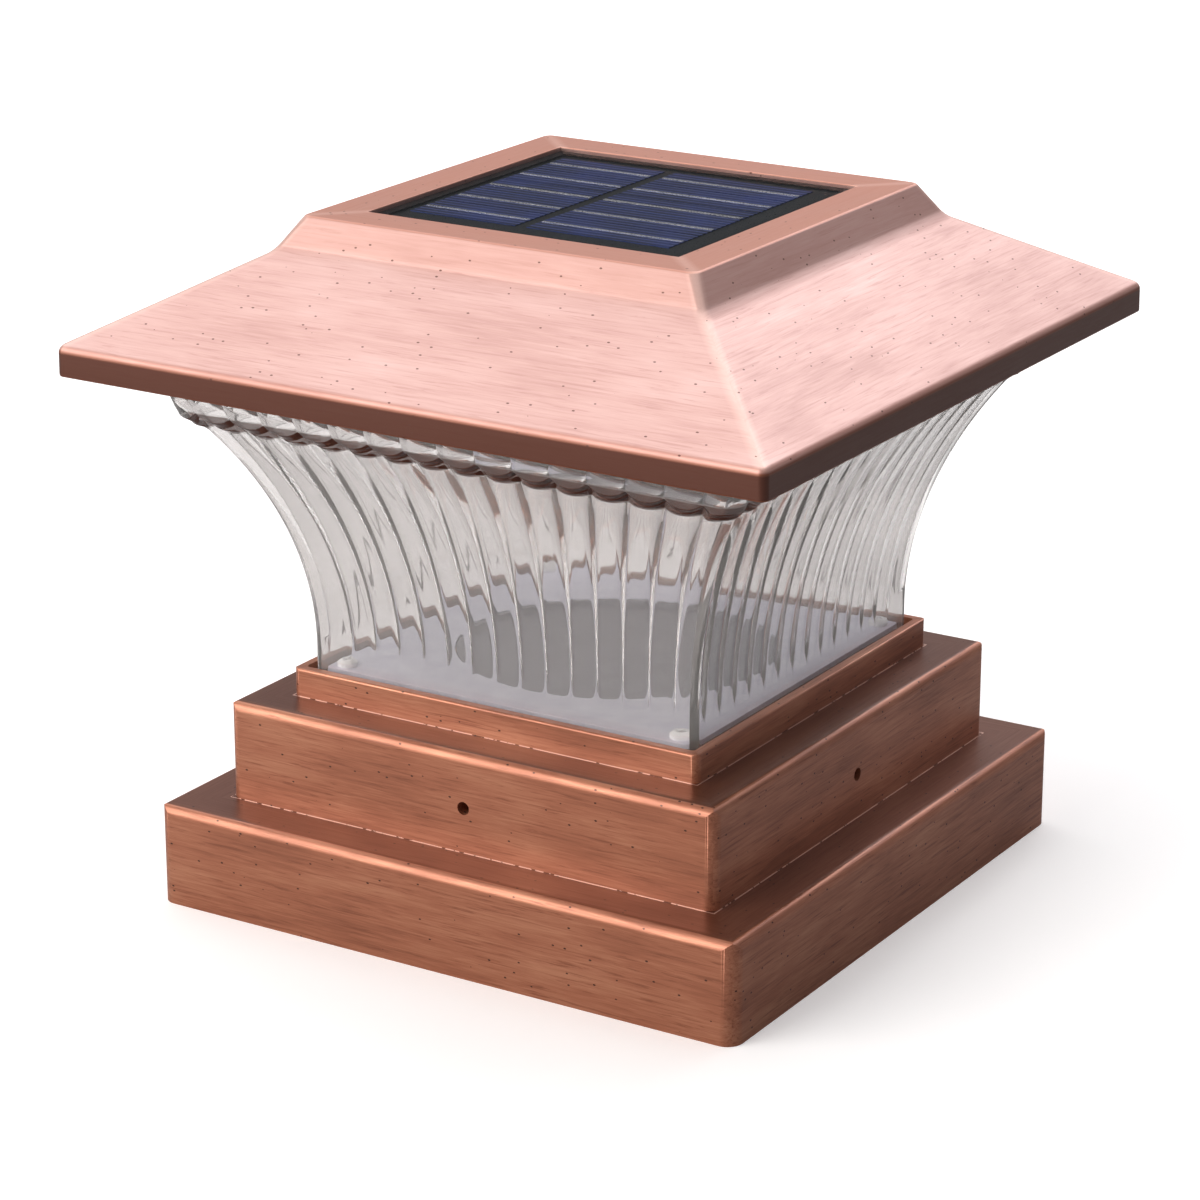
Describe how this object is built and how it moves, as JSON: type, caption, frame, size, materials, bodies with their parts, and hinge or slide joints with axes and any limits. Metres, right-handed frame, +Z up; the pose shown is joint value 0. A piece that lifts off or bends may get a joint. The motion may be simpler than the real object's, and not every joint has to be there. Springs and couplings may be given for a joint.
{
  "type": "solar post cap light",
  "caption": "Square solar lantern that caps a fence or deck post: low hipped roof with a sunk solar panel, flared reeded clear lens and a stepped base that fits posts of three widths.",
  "frame": {"origin": "middle of the lower tier's open underside, at the height of its bottom edge", "axes": "+Z up along the post; +X and +Y square to the faces; the battery bay lies towards -Y, and in the picture -Y is the face on the left and +X the face on the right"},
  "size_m": [0.185, 0.185, 0.1655],
  "materials": {
    "antique_copper": "brushed antique copper plating on cast metal",
    "plated_steel": "zinc plated",
    "bright_plate": "bright, finely grained",
    "grey_dish": "satin",
    "clear_lens": "clear, polished",
    "foam": "closed-cell foam",
    "panel_rubber": "smooth",
    "pale_tray": "fine grain",
    "panel_backing": "laminate",
    "silicon": "dark blue, printed with fine lines",
    "tinned_metal": "tinned",
    "panel_glazing": "clear, flat",
    "board_resin": "satin",
    "component_black": "moulded",
    "led_white": "translucent",
    "frosted_cover": "frosted, translucent",
    "battery_wrap": "plain plastic sleeve on a metal can",
    "contact_brass": "bright",
    "lead_insulation": "smooth insulation"
  },
  "bodies": {
    "base": {"lower_tier": "antique_copper", "middle_tier": "antique_copper", "tier_screws": "plated_steel", "upper_collar": "antique_copper", "floor_plate": "bright_plate", "floor_dish": "grey_dish", "floor_screws": "plated_steel", "lens_shade": "clear_lens"},
    "solar_head": {"roof_shell": "antique_copper", "tray_screws": "plated_steel", "board_screws": "plated_steel", "rim_seal": "foam", "tray_seal": "foam", "panel_border": "panel_rubber", "head_tray": "pale_tray", "panel_board": "panel_backing", "solar_cells": "silicon", "cell_busbars": "tinned_metal", "panel_glass": "panel_glazing", "circuit_board": "board_resin", "board_parts": "component_black", "led_chips": "led_white", "light_cover": "frosted_cover", "switch_body": "tinned_metal", "battery": "battery_wrap", "battery_spring": "tinned_metal", "battery_contact": "contact_brass", "panel_leads": "lead_insulation", "battery_leads": "lead_insulation"},
    "battery_cover": {"battery_door": "pale_tray", "door_screw": "plated_steel"},
    "power_switch": {"switch_knob": "component_black"}
  },
  "joints": [
    {"name": "head_lift", "type": "slide", "parent": "base", "child": "solar_head", "axis": [0, 0, 1], "range_m": [0, 0.08]},
    {"name": "cover_drop", "type": "slide", "parent": "solar_head", "child": "battery_cover", "axis": [0, 0, -1], "range_m": [0, 0.025]},
    {"name": "switch_slide", "type": "slide", "parent": "solar_head", "child": "power_switch", "axis": [1, 0, 0], "range_m": [0, 0.002]}
  ]
}
